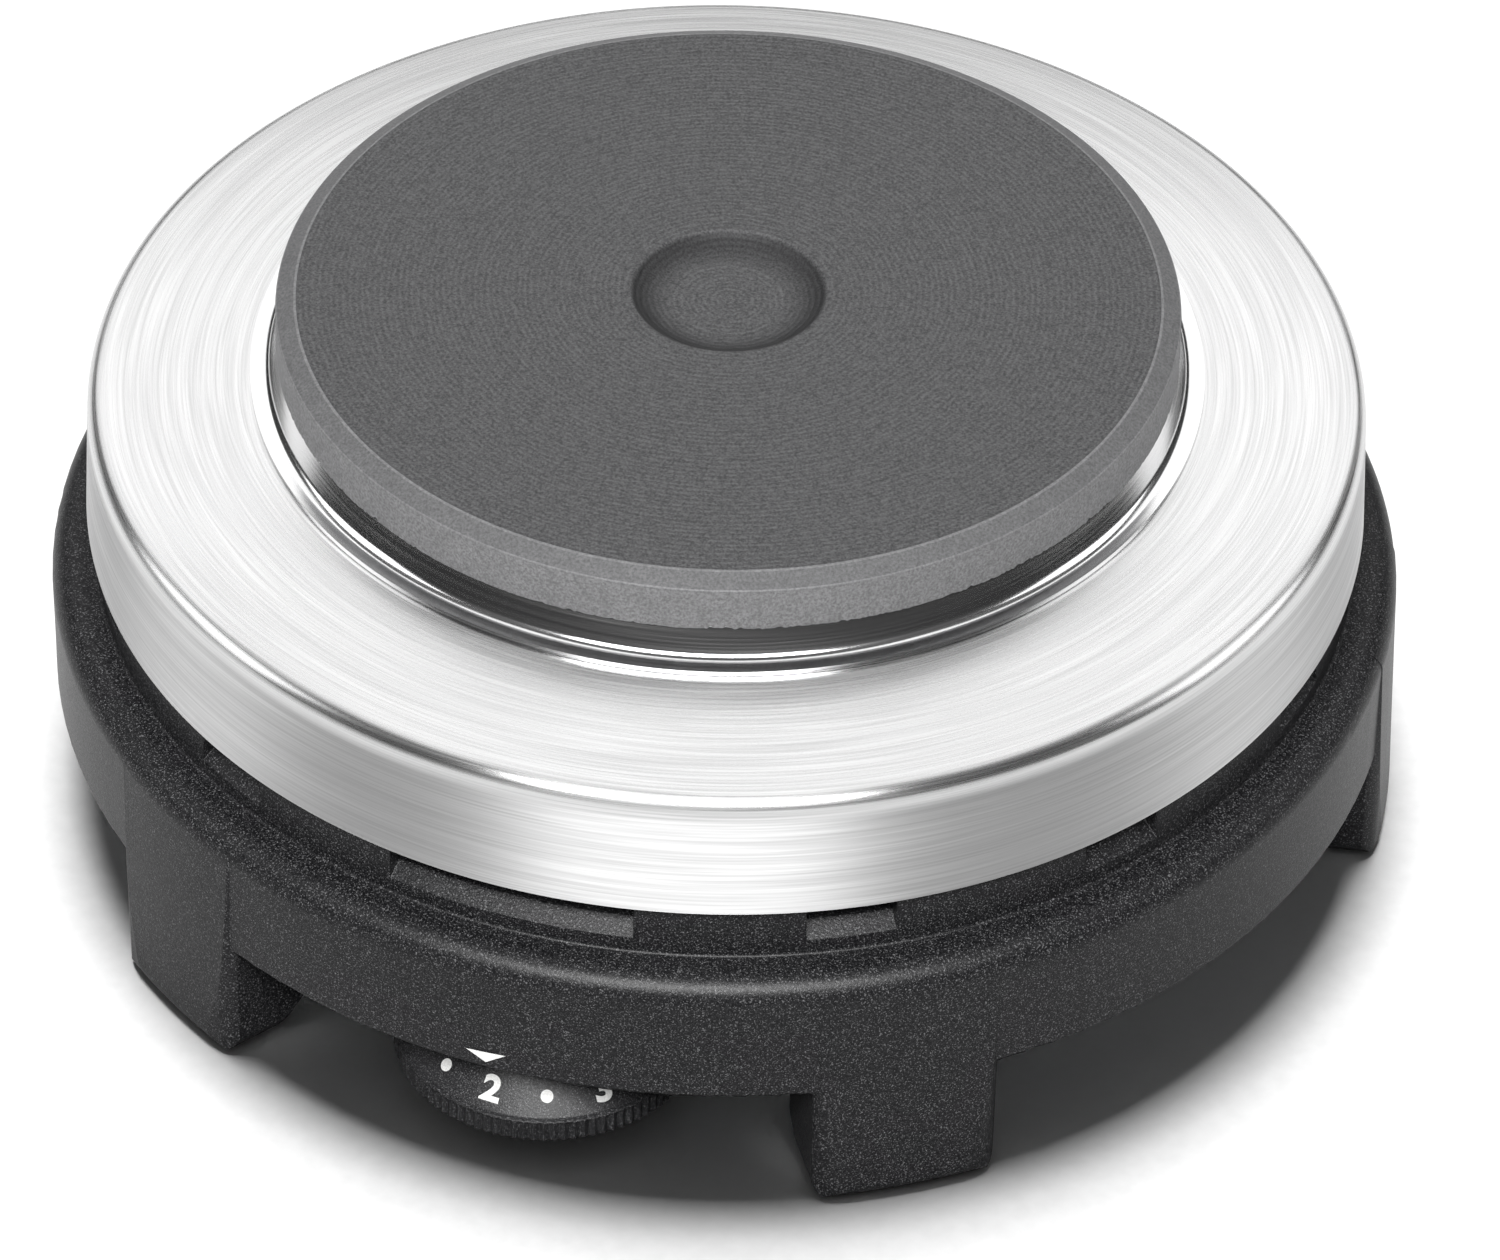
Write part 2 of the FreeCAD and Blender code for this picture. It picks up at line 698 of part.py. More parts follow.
# ---- dial and thermostat ----
def control_dial():
    """Knurled thumbwheel with a conical face that carries the scale."""
    bottom = DIAL_GROUND_GAP
    rim_top = bottom + DIAL_RIM_HEIGHT
    cone_top = rim_top + DIAL_CONE_HEIGHT
    lip = dial_radius - DIAL_LIP
    cone_end = lip - DIAL_CONE_HEIGHT
    hub_top = floor_bottom - WAVE_WASHER - SMALL_GAP
    core = bottom + DIAL_CORE_RISE
    wheel = lathe(
        [
            (SPINDLE_RADIUS, core, 0),
            (DIAL_CORE_RADIUS, core, 0),
            (DIAL_CORE_RADIUS, cone_top - 2 * DIAL_WALL, 0),
            (cone_end + DIAL_WALL, cone_top - 2 * DIAL_WALL, 0),
            (lip - DIAL_WALL, bottom, 0),
            (dial_radius, bottom, 0.3),
            (dial_radius, rim_top - 0.2, 0),
            (lip, rim_top, 0),
            (cone_end, cone_top, 0.5),
            (DIAL_HUB_RADIUS, cone_top, 0),
            (DIAL_HUB_RADIUS, hub_top, 0),
            (SPINDLE_RADIUS, hub_top, 0),
        ],
        0,
        dial_y,
    )
    corners = []
    for i in range(2 * KNURL_RIBS):
        radius = dial_radius - KNURL_DEPTH * (i % 2)
        angle = math.pi * i / KNURL_RIBS
        corners.append(
            Vec(radius * math.cos(angle), dial_y + radius * math.sin(angle), bottom)
        )
    corners.append(corners[0])
    star = Part.Face(Part.makePolygon(corners)).extrude(Vec(0, 0, DIAL_RIM_HEIGHT - 0.2))
    around = rod(dial_radius + 1.0, bottom, rim_top - 0.2, 0, dial_y)
    return wheel.cut(around.cut(star))


def adjusting_spindle():
    """Steel spindle that turns with the dial in the bush."""
    bottom = DIAL_GROUND_GAP + DIAL_CORE_RISE
    top = floor_top + FRAME_RISE - FRAME_SHEET
    spindle = rod(SPINDLE_RADIUS, bottom, top, 0, dial_y)
    return spindle.cut(rod(SCREW_RADIUS, bottom, bottom + BASE_SCREW_BITE, 0, dial_y))


def spindle_bush():
    """Brass bush pressed into the base plate."""
    body = rod(BUSH_RADIUS, floor_bottom - SMALL_GAP, floor_top + BUSH_RISE, 0, dial_y)
    flange = rod(BUSH_FLANGE_RADIUS, floor_top, floor_top + FRAME_SHEET, 0, dial_y)
    bore = rod(
        SPINDLE_RADIUS + RUNNING_CLEARANCE,
        floor_bottom - SMALL_GAP,
        floor_top + BUSH_RISE,
        0,
        dial_y,
    )
    return body.fuse(flange).cut(bore)


def push_pin():
    """Ceramic pin that lifts the moving contact blade."""
    bottom = floor_top + FRAME_RISE - FRAME_SHEET + PIN_GAP
    return rod(PIN_RADIUS, bottom, moving_z - SMALL_GAP, 0, dial_y)


def thermostat_frame():
    """Folded steel frame: foot on the base plate, upright, and an arm for the stack."""
    half = FRAME_WIDTH / 2
    rear = stack_y + STACK_LENGTH / 2 + FRAME_SHEET
    front = dial_y - FRAME_OVERHANG
    foot = block(
        (-half, half), (stack_y - STACK_LENGTH / 2, rear), (floor_top, floor_top + FRAME_SHEET)
    )
    upright = block((-half, half), (rear - FRAME_SHEET, rear), (floor_top, arm_top))
    arm = block((-half, half), (front, rear), (arm_top - FRAME_SHEET, arm_top))
    frame = foot.fuse(upright).fuse(arm)
    guide = rod(PIN_RADIUS + RUNNING_CLEARANCE, arm_top - FRAME_SHEET, arm_top, 0, dial_y)
    frame = frame.cut(guide)
    frame = frame.cut(rod(SCREW_RADIUS, arm_top - FRAME_SHEET, arm_top, 0, stack_y))
    x, y = frame_screw_place()
    return frame.cut(rod(SCREW_RADIUS, floor_top, floor_top + FRAME_SHEET, x, y))


def frame_screw_place():
    """Where the thermostat frame's screw comes up through the base plate."""
    return 0.0, stack_y


def thermostat_stack():
    """Four steatite spacers that clamp the blades."""
    half = STACK_LENGTH / 2
    spacers = []
    for bottom, top in (
        (arm_top, moving_z),
        (moving_z + BLADE_SHEET, fixed_z),
        (fixed_z + BLADE_SHEET, bimetal_z),
        (bimetal_z + BIMETAL_SHEET, stack_top),
    ):
        bead = block(
            (-FRAME_WIDTH / 2, FRAME_WIDTH / 2), (stack_y - half, stack_y + half), (bottom, top)
        )
        spacers.append(bead.cut(rod(SCREW_RADIUS, bottom, top, 0, stack_y)))
    return Part.makeCompound(spacers)


def blade(bottom, sheet, front, tab_side):
    """Spring strip clamped in the stack, with a solder tab on one side or none."""
    half = BLADE_WIDTH / 2
    strip = block(
        (-half, half), (front, stack_y + STACK_LENGTH / 2), (bottom, bottom + sheet)
    )
    if tab_side:
        ends = sorted((tab_side * half, tab_side * (FRAME_WIDTH / 2 + TAB_LENGTH)))
        tab = block(
            ends, (stack_y - TAB_WIDTH / 2, stack_y + TAB_WIDTH / 2), (bottom, bottom + sheet)
        )
        strip = strip.fuse(tab)
    hole = rod(SCREW_RADIUS + SMALL_GAP, bottom, bottom + sheet, 0, stack_y)
    return strip.cut(hole)


def moving_contact_blade():
    """Free length of the lower blade, which bends about the stack's front face."""
    half = BLADE_WIDTH / 2
    root = stack_y - STACK_LENGTH / 2 - CONTACT_GAP
    return block(
        (-half, half), (dial_y - BLADE_REACH, root), (moving_z, moving_z + BLADE_SHEET)
    )


def stack_screw():
    """Screw from the top of the stack down into the frame's arm."""
    shank = rod(SCREW_RADIUS, arm_top - FRAME_SHEET, stack_top, 0, stack_y)
    head = rod(SCREW_HEAD_RADIUS, stack_top, stack_top + SCREW_HEAD_HEIGHT, 0, stack_y)
    return shank.fuse(head)


# ---- wiring ----
def block_screw_place():
    """Where the mains terminal block's screw comes up through the base plate."""
    return PIN_OFFSET / 2, block_y + BLOCK_DEPTH / 2


def earth_screw_place():
    """Where the earth tab's screw comes up through the base plate."""
    return EARTH_X + EARTH_TAB_FOOT / 2 + TAB_SHEET, EARTH_Y


def mains_terminal_block():
    """Three-pole ceramic block with a wire bore and two clamping screws a pole."""
    half = BLOCK_WIDTH / 2
    top = floor_top + BLOCK_HEIGHT
    body = block((-half, half), (block_y, block_y + BLOCK_DEPTH), (floor_top, top))
    for x in (-PIN_OFFSET, 0, PIN_OFFSET):
        body = body.cut(bar_y(BLOCK_BORE_RADIUS, block_y, block_y + BLOCK_DEPTH, x, lead_z))
        for y in terminal_screw_rows():
            body = body.cut(rod(SCREW_RADIUS, lead_z, top, x, y))
    x, y = block_screw_place()
    return body.cut(rod(SCREW_RADIUS, floor_top, floor_top + SCREW_HEAD_HEIGHT, x, y))


def terminal_screw_rows():
    """The two rows of clamping screws, front and rear."""
    return block_y + BLOCK_DEPTH / 4, block_y + BLOCK_DEPTH * 3 / 4


def terminal_screws():
    """Headless clamping screws, sunk a little below the block's top."""
    bottom = lead_z + BLOCK_BORE_RADIUS
    top = floor_top + BLOCK_HEIGHT - SMALL_GAP
    screws = []
    for x in (-PIN_OFFSET, 0, PIN_OFFSET):
        for y in terminal_screw_rows():
            slot = block(
                (x - SCREW_RADIUS, x + SCREW_RADIUS),
                (y - SCREW_SLOT_WIDTH / 4, y + SCREW_SLOT_WIDTH / 4),
                (top - SCREW_SLOT_DEPTH, top),
            )
            screws.append(rod(SCREW_RADIUS, bottom, top, x, y).cut(slot))
    return Part.makeCompound(screws)


def thermal_cutout():
    """Disc cut-out under the heat shield."""
    return rod(CUTOUT_RADIUS, shield_bottom - CUTOUT_HEIGHT, shield_bottom, CUTOUT_X, CUTOUT_Y)


def cutout_tabs():
    """The cut-out's two flat tabs."""
    top = shield_bottom - CUTOUT_HEIGHT
    tabs = []
    for x in (CUTOUT_X - CUTOUT_TAB_OFFSET, CUTOUT_X + CUTOUT_TAB_OFFSET):
        tabs.append(
            block(
                (x - TAB_SHEET / 2, x + TAB_SHEET / 2),
                (CUTOUT_Y - TAB_WIDTH / 2, CUTOUT_Y + TAB_WIDTH / 2),
                (top - CUTOUT_TAB_DROP, top),
            )
        )
    return Part.makeCompound(tabs)


def earth_tab():
    """Angle tab screwed to the base plate."""
    half = EARTH_TAB_WIDTH / 2
    x, y = earth_screw_place()
    foot = block(
        (EARTH_X, EARTH_X + EARTH_TAB_FOOT + TAB_SHEET),
        (y - half, y + half),
        (floor_top, floor_top + TAB_SHEET),
    )
    upright = block(
        (EARTH_X, EARTH_X + TAB_SHEET),
        (y - half, y + half),
        (floor_top, floor_top + EARTH_TAB_HEIGHT),
    )
    hole = rod(SCREW_RADIUS, floor_top, floor_top + TAB_SHEET, x, y)
    return foot.fuse(upright).cut(hole)


def neutral_lead():
    """From the right pole straight up to the right plate pin."""
    pin_end = sheet_bottom - CERAMIC_HEIGHT - TERMINAL_PIN_TAIL
    return lead(
        [
            (PIN_OFFSET, block_y, lead_z),
            (PIN_OFFSET, pins_y, lead_z),
            (PIN_OFFSET, pins_y, pin_end),
        ]
    )


def earth_lead():
    """From the middle pole to the earth tab."""
    return lead([(0, block_y, lead_z), (0, EARTH_Y, lead_z), (EARTH_X, EARTH_Y, lead_z)])


def live_lead():
    """From the left pole round the stud to the fixed blade's tab."""
    tab = -(FRAME_WIDTH / 2 + TAB_LENGTH)
    height = fixed_z + BLADE_SHEET / 2
    side = tab - BAR_WIDTH + 2 * LEAD_RADIUS
    return lead(
        [
            (-PIN_OFFSET, block_y, lead_z),
            (-PIN_OFFSET - BLOCK_SETBACK, block_y - 2 * BLOCK_SETBACK, lead_z),
            (side, 0, (lead_z + height) / 2),
            (side, stack_y + 2 * STACK_LENGTH, height),
            (tab - STACK_LENGTH, stack_y, height),
            (tab, stack_y, height),
        ]
    )


def switched_lead():
    """From the moving blade's root tab to the outer tab of the cut-out."""
    tab = FRAME_WIDTH / 2 + TAB_LENGTH
    height = moving_z + BLADE_SHEET / 2
    end_x = CUTOUT_X + CUTOUT_TAB_OFFSET
    end_z = shield_bottom - CUTOUT_HEIGHT - CUTOUT_TAB_DROP
    low = floor_top + EARTH_TAB_HEIGHT
    return lead(
        [
            (tab, stack_y, height),
            (tab + STACK_LENGTH, stack_y, height),
            (end_x, stack_y + 2 * STACK_LENGTH, low),
            (end_x, CUTOUT_Y - STACK_LENGTH, low),
            (end_x, CUTOUT_Y, end_z - 4 * LEAD_RADIUS),
            (end_x, CUTOUT_Y, end_z),
        ]
    )


def cutout_lead():
    """From the inner tab of the cut-out across to the left plate pin."""
    start_x = CUTOUT_X - CUTOUT_TAB_OFFSET
    tab_end = shield_bottom - CUTOUT_HEIGHT - CUTOUT_TAB_DROP
    pin_end = sheet_bottom - CERAMIC_HEIGHT - TERMINAL_PIN_TAIL
    low = lead_z + 3.4 * LEAD_RADIUS
    return lead(
        [
            (start_x, CUTOUT_Y, tab_end),
            (start_x, CUTOUT_Y, low),
            (PIN_OFFSET / 2, CUTOUT_Y - 2 * LEAD_RADIUS, low),
            (-PIN_OFFSET, CUTOUT_Y - LEAD_RADIUS, low),
            (-PIN_OFFSET, pins_y, low + LEAD_RADIUS),
            (-PIN_OFFSET, pins_y, pin_end),
        ]
    )


def cord_gland():
    """Flanged bush that holds the mains cord where it enters at the rear."""
    inner = gland_seat - GLAND_WALL
    gland = bar_y(GLAND_NECK_RADIUS, inner, gland_seat, 0, gland_z)
    for start in (inner - GLAND_FLANGE, gland_seat):
        gland = gland.fuse(
            bar_y(GLAND_FLANGE_RADIUS, start, start + GLAND_FLANGE, 0, gland_z)
        )
    length = GLAND_WALL + 2 * GLAND_FLANGE
    bore = bar_y(
        GLAND_BORE_RADIUS, inner - GLAND_FLANGE, inner - GLAND_FLANGE + length, 0, gland_z
    )
    return gland.cut(bore)


def build():
    """Every node by name."""
    coils = coil_rings()
    pins = terminal_pins()
    contact_y = dial_y - BLADE_REACH + CONTACT_RADIUS + CONTACT_GAP
    moving_top = moving_z + BLADE_SHEET
    contact_height = (fixed_z - moving_top - CONTACT_GAP) / 2
    screw_length = BASE_PLATE_SHEET + FRAME_SHEET
    stud_bottom = clamp_nut_bottom - STUD_TAIL
    shield_nuts = [
        hex_nut(NUT_FLATS, STUD_RADIUS, shield_top, sheet_bottom),
        hex_nut(NUT_FLATS, STUD_RADIUS, shield_bottom - THIN_NUT, shield_bottom),
    ]
    washer_bottom = bar_bottom - WASHER_THICKNESS
    wave_top = floor_bottom - WAVE_WASHER
    return {
        "hotplate": hotplate(),
        "heating_coils": coils,
        "coil_cement": coil_cement(coils, pins),
        "plate_cover_sheet": plate_cover_sheet(),
        "plate_terminal_block": plate_terminal_block(pins),
        "plate_terminal_pins": pins,
        "centre_stud": rod(STUD_RADIUS, stud_bottom, plate_bottom + STUD_BITE),
        "shield_nuts": Part.makeCompound(shield_nuts),
        "heat_shield": heat_shield(),
        "clamp_bar": clamp_bar(),
        "clamp_washer": tube(STUD_RADIUS, WASHER_RADIUS, washer_bottom, bar_bottom),
        "clamp_nut": hex_nut(NUT_FLATS, STUD_RADIUS, clamp_nut_bottom, washer_bottom),
        "trim_ring": trim_ring(),
        "top_cover": top_cover(),
        "base_housing": base_housing(),
        "base_plate": base_plate(),
        "base_plate_screws": base_plate_screws(),
        "cord_gland": cord_gland(),
        "control_dial": control_dial(),
        "adjusting_spindle": adjusting_spindle(),
        "dial_screw": screw_up(
            0, dial_y, DIAL_GROUND_GAP + DIAL_CORE_RISE, BASE_SCREW_BITE
        ),
        "spindle_bush": spindle_bush(),
        "wave_washer": tube(
            BUSH_RADIUS + SMALL_GAP, DIAL_HUB_RADIUS, wave_top, floor_bottom, 0, dial_y
        ),
        "push_pin": push_pin(),
        "thermostat_frame": thermostat_frame(),
        "thermostat_frame_screw": screw_up(*frame_screw_place(), floor_bottom, screw_length),
        "thermostat_stack": thermostat_stack(),
        "stack_screw": stack_screw(),
        "moving_blade_root": blade(moving_z, BLADE_SHEET, stack_y - STACK_LENGTH / 2, 1),
        "moving_contact_blade": moving_contact_blade(),
        "moving_contact": rod(
            CONTACT_RADIUS, moving_top, moving_top + contact_height, 0, contact_y
        ),
        "fixed_contact_blade": blade(fixed_z, BLADE_SHEET, dial_y - BLADE_REACH, -1),
        "fixed_contact": rod(CONTACT_RADIUS, fixed_z - contact_height, fixed_z, 0, contact_y),
        "bimetal_strip": blade(bimetal_z, BIMETAL_SHEET, dial_y, 0),
        "mains_terminal_block": mains_terminal_block(),
        "terminal_screws": terminal_screws(),
        "terminal_block_screw": screw_up(
            *block_screw_place(), floor_bottom, BASE_PLATE_SHEET + SCREW_HEAD_HEIGHT
        ),
        "thermal_cutout": thermal_cutout(),
        "cutout_tabs": cutout_tabs(),
        "earth_tab": earth_tab(),
        "earth_screw": screw_up(
            *earth_screw_place(), floor_bottom, BASE_PLATE_SHEET + TAB_SHEET
        ),
        "live_lead": live_lead(),
        "switched_lead": switched_lead(),
        "cutout_lead": cutout_lead(),
        "neutral_lead": neutral_lead(),
        "earth_lead": earth_lead(),
    }


os.makedirs("parts", exist_ok=True)
for name, shape in build().items():
    shape.exportStep(f"parts/{name}.step")
    box = shape.BoundBox
    print(
        f"{name}: {len(shape.Solids)} solids, valid {shape.isValid()},"
        f" z {box.ZMin:.2f} to {box.ZMax:.2f}, volume {shape.Volume:.1f}"
    )
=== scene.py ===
import math
import random

import bpy
from mathutils import Matrix, Vector


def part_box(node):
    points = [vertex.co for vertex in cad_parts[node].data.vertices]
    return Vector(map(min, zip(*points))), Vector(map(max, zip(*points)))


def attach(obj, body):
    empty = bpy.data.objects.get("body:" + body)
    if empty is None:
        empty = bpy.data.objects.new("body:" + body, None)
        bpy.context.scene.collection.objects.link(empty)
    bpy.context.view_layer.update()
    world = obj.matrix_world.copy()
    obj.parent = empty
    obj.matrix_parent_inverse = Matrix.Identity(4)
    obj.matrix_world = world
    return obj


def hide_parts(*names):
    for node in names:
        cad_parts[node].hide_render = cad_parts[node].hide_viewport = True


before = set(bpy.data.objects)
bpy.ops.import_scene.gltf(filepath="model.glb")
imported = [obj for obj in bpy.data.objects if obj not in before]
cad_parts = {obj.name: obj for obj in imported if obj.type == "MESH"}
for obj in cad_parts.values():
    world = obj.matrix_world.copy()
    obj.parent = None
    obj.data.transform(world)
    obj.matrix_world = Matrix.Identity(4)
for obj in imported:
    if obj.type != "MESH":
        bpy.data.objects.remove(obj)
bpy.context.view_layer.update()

# Small round electric hot plate. +Z is up, the feet stand on z = 0, the plate's axis is
# x = y = 0, and the dial is at the front, at -Y. Azimuths run from -Y towards +X.
# Lengths written here are in millimetres and are turned to metres by MM.
MM = 0.001
AROUND = 960  # divisions of the large turned pieces

chance = random.Random(41)


# ---- shapes ----
def rounded(corners, steps=8):
    """Points of an open line through (radius, height, rounding) corners."""
    points = []
    for i, (a, b, rounding) in enumerate(corners):
        here = Vector((a, b))
        if rounding <= 0 or i in (0, len(corners) - 1):
            points.append((a, b))
            continue
        back = (Vector(corners[i - 1][:2]) - here).normalized()
        on = (Vector(corners[i + 1][:2]) - here).normalized()
        half = back.angle(on) / 2
        middle = here + (back + on).normalized() * (rounding / math.sin(half))
        start = here + back * (rounding / math.tan(half)) - middle
        end = here + on * (rounding / math.tan(half)) - middle
        sweep = start.angle_signed(end)
        for step in range(steps + 1):
            turn = Matrix.Rotation(-sweep * step / steps, 2)
            points.append(tuple(middle + turn @ start))
    return points


def sheet_section(corners, thickness):
    """Closed section of a bent sheet from its middle line."""
    line = [Vector(p) for p in rounded(corners)]
    outside, inside = [], []
    for i, here in enumerate(line):
        way = line[min(i + 1, len(line) - 1)] - line[max(i - 1, 0)]
        normal = Vector((-way.y, way.x)).normalized() * thickness / 2
        outside.append(tuple(here + normal))
        inside.append(tuple(here - normal))
    return outside + inside[::-1]


def ragged_edge(size):
    """Offsets around an as-cast edge: fine teeth on a slower wander, in millimetres."""
    wander = [chance.uniform(-1, 1) for _ in range(AROUND // 16)]
    offsets = []
    for i in range(AROUND):
        whole, part = divmod(i / 16, 1)
        ease = part * part * (3 - 2 * part)
        here = wander[int(whole)]
        after = wander[(int(whole) + 1) % len(wander)]
        slow = here + (after - here) * ease
        tooth = chance.uniform(-1, 1) ** 3
        offsets.append(size * (0.45 * slow + 0.75 * tooth))
    return offsets


def turned_piece(name, section, body, stands_for, finishes, closed=True, ragged=None):
    """Piece turned about the main axis; finishes are (material, last section point).

    ragged is (first point, last point, offsets): those section points rise and fall by them.
    """
    vertices, faces, kinds = [], [], []
    rows = []
    for row, (radius, height) in enumerate(section):
        worn = ragged is not None and ragged[0] <= row <= ragged[1]
        if radius < 1e-6:
            rows.append([len(vertices)] * AROUND)
            vertices.append((0, 0, height * MM))
            continue
        rows.append(range(len(vertices), len(vertices) + AROUND))
        for i in range(AROUND):
            angle = 2 * math.pi * i / AROUND
            off = ragged[2][i] if worn else 0
            out = (radius - abs(off) / 2) * MM
            vertices.append((out * math.sin(angle), -out * math.cos(angle), (height + off) * MM))
    spans = list(zip(range(len(rows)), range(1, len(rows))))
    if closed:
        spans.append((len(rows) - 1, 0))
    for lower, upper in spans:
        kind = next(k for k, (_, last) in enumerate(finishes) if lower < last)
        for i in range(AROUND):
            j = (i + 1) % AROUND
            face = [rows[lower][i], rows[lower][j], rows[upper][j], rows[upper][i]]
            face = list(dict.fromkeys(face))
            if len(face) > 2:
                faces.append(face)
                kinds.append(kind)
    return solid_piece(
        name, vertices, faces, body, stands_for, [m for m, _ in finishes], kinds
    )


def solid_piece(name, vertices, faces, body, stands_for, materials, kinds=None):
    """Mesh object on its body, with the CAD nodes that it stands for."""
    mesh = bpy.data.meshes.new(name)
    mesh.from_pydata(vertices, [], faces)
    for material in materials:
        mesh.materials.append(material)
    if kinds:
        mesh.polygons.foreach_set("material_index", kinds)
    mesh.shade_smooth()
    mesh.set_sharp_from_angle(angle=math.radians(38))
    piece = bpy.data.objects.new(name, mesh)
    bpy.context.scene.collection.objects.link(piece)
    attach(piece, body)
    if stands_for:
        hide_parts(*stands_for)
    return piece


# ---- finishes ----
def linear(shade):
    """Linear colour from an sRGB hex value."""
    channels = [int(shade[i : i + 2], 16) / 255 for i in (1, 3, 5)]
    return [c / 12.92 if c <= 0.04045 else ((c + 0.055) / 1.055) ** 2.4 for c in channels] + [1]


def per_metre(size):
    """Pattern scale that repeats about every `size` millimetres."""
    return 1 / (size * MM)


def add(tree, kind, settings=None, inputs=None):
    """Adds one node; an input is a value, or another node's output to link."""
    made = tree.nodes.new("ShaderNode" + kind)
    for name, value in (settings or {}).items():
        setattr(made, name, value)
    for name, value in (inputs or {}).items():
        if isinstance(value, bpy.types.NodeSocket):
            tree.links.new(value, made.inputs[name])
        else:
            made.inputs[name].default_value = value
    return made


def finish(name):
    """Empty material, its node tree and its shader."""
    material = bpy.data.materials.new(name)
    material.use_nodes = True
    tree = material.node_tree
    tree.nodes.clear()
    shader = add(tree, "BsdfPrincipled")
    add(tree, "OutputMaterial", None, {"Surface": shader.outputs["BSDF"]})
    return material, tree, shader


def wire_up(tree, shader, inputs):
    """Sets or links the shader's inputs."""
    for name, value in inputs.items():
        if isinstance(value, bpy.types.NodeSocket):
            tree.links.new(value, shader.inputs[name])
        else:
            shader.inputs[name].default_value = value


def grain(tree, size, detail=3.0, roughness=0.6, vector=None):
    """Noise about `size` millimetres across, in the object's own coordinates."""
    place = vector or add(tree, "TexCoord").outputs["Object"]
    scale = per_metre(size) if vector is None else 1.0
    return add(
        tree,
        "TexNoise",
        None,
        {"Vector": place, "Scale": scale, "Detail": detail, "Roughness": roughness},
    ).outputs["Fac"]


def spread(tree, value, low, high, to_low=0.0, to_high=1.0):
    """Stretches a value's middle range to new ends."""
    return add(
        tree,
        "MapRange",
        {"clamp": True},
        {"Value": value, "From Min": low, "From Max": high, "To Min": to_low, "To Max": to_high},
    ).outputs["Result"]


def blend_colours(tree, amount, first, second):
    """Colour between two hex shades or colour outputs."""
    ends = [linear(c) if isinstance(c, str) else c for c in (first, second)]
    mixer = add(tree, "Mix", {"data_type": "RGBA"}, {0: amount, 6: ends[0], 7: ends[1]})
    return mixer.outputs[2]


def relief(tree, height, depth, strength=1.0, over=None):
    """Bump of a depth in millimetres."""
    inputs = {"Height": height, "Distance": depth * MM, "Strength": strength}
    if over is not None:
        inputs["Normal"] = over
    return add(tree, "Bump", None, inputs).outputs["Normal"]


def turned_place(tree):
    """Radius and height in metres, and the direction from the main axis."""
    split = add(tree, "SeparateXYZ", None, {0: add(tree, "TexCoord").outputs["Object"]})
    flat = add(tree, "CombineXYZ", None, {0: split.outputs[0], 1: split.outputs[1]})
    radius = add(tree, "VectorMath", {"operation": "LENGTH"}, {0: flat.outputs[0]})
    way = add(tree, "VectorMath", {"operation": "NORMALIZE"}, {0: flat.outputs[0]})
    return radius.outputs["Value"], split.outputs[2], way.outputs[0]


def lathe_lines(tree, pitch, streak, detail=2.0):
    """Noise drawn out around the main axis: lines `pitch` mm apart, `streak` radians long."""
    radius, height, way = turned_place(tree)
    across = add(tree, "Math", {"operation": "SUBTRACT"}, {0: radius, 1: height})
    scale = per_metre(pitch)
    lines = add(tree, "Math", {"operation": "MULTIPLY"}, {0: across.outputs[0], 1: scale})
    drawn = add(tree, "VectorMath", {"operation": "SCALE"}, {0: way, "Scale": 1 / streak})
    raised = add(tree, "CombineXYZ", None, {2: lines.outputs[0]})
    ends = {0: drawn.outputs[0], 1: raised.outputs[0]}
    place = add(tree, "VectorMath", {"operation": "ADD"}, ends)
    return grain(tree, 1.0, detail, 0.55, place.outputs[0])


def turned_cast_iron(name, dark, light):
    """Cast iron turned on a lathe and blackened: fine rings, open grain, a dull grey sheen, and
    painted shade in the dish.
    """
    material, tree, shader = finish(name)
    radius, _, _ = turned_place(tree)
    # the tool's feed is 0.55 mm a turn
    wander = spread(tree, lathe_lines(tree, 1.6, 0.5), 0.3, 0.7, -0.9, 0.9)
    turns = add(
        tree, "Math", {"operation": "MULTIPLY"}, {0: radius, 1: 2 * math.pi * per_metre(0.55)}
    )
    phase = add(tree, "Math", {"operation": "ADD"}, {0: turns.outputs[0], 1: wander})
    groove = add(tree, "Math", {"operation": "SINE"}, {0: phase.outputs[0]})
    ring = spread(tree, groove.outputs[0], -1.0, 1.0)
    speck = grain(tree, 0.2, 3.0, 0.65)
    pits = spread(tree, speck, 0.36, 0.62)
    shade = blend_colours(tree, pits, dark, light)
    ringed = add(tree, "Math", {"operation": "MULTIPLY"}, {0: ring, 1: 0.22})
    shade = blend_colours(tree, ringed.outputs[0], shade, "#2f2f30")
    # painted shade: the dish's rising wall is darkened towards #262627, standing in for the shade
    # in the hollow
    dish_shade_rise = spread(tree, radius, 0.0048, 0.0076, 0.0, 0.6)
    inside = spread(tree, radius, 0.0083, 0.0087, 1.0, 0.0)
    wall = add(tree, "Math", {"operation": "MULTIPLY"}, {0: dish_shade_rise, 1: inside})
    shade = blend_colours(tree, wall.outputs[0], shade, "#262627")
    bump = relief(tree, groove.outputs[0], 0.012)
    bump = relief(tree, speck, 0.05, 0.8, bump)
    wire_up(
        tree,
        shader,
        {
            "Base Color": shade,
            "Metallic": 0.85,
            "Roughness": spread(tree, speck, 0.3, 0.7, 0.5, 0.66),
            "Normal": bump,
        },
    )
    return material


def sand_cast_iron(name, dark, light, depth):
    """Iron as it left the sand mould: paler, with a coarse gritty skin."""
    material, tree, shader = finish(name)
    grit = grain(tree, 0.24, 3.0, 0.65)
    coarse = grain(tree, 1.5, 2.0, 0.5)
    shade = blend_colours(tree, spread(tree, grit, 0.34, 0.66), dark, light)
    shade = blend_colours(tree, spread(tree, coarse, 0.35, 0.75, 0.0, 0.25), shade, dark)
    bump = relief(tree, grit, depth)
    wire_up(
        tree,
        shader,
        {
            "Base Color": shade,
            "Metallic": 0.7,
            "Roughness": spread(tree, grit, 0.3, 0.7, 0.6, 0.75),
            "Normal": bump,
        },
    )
    return material


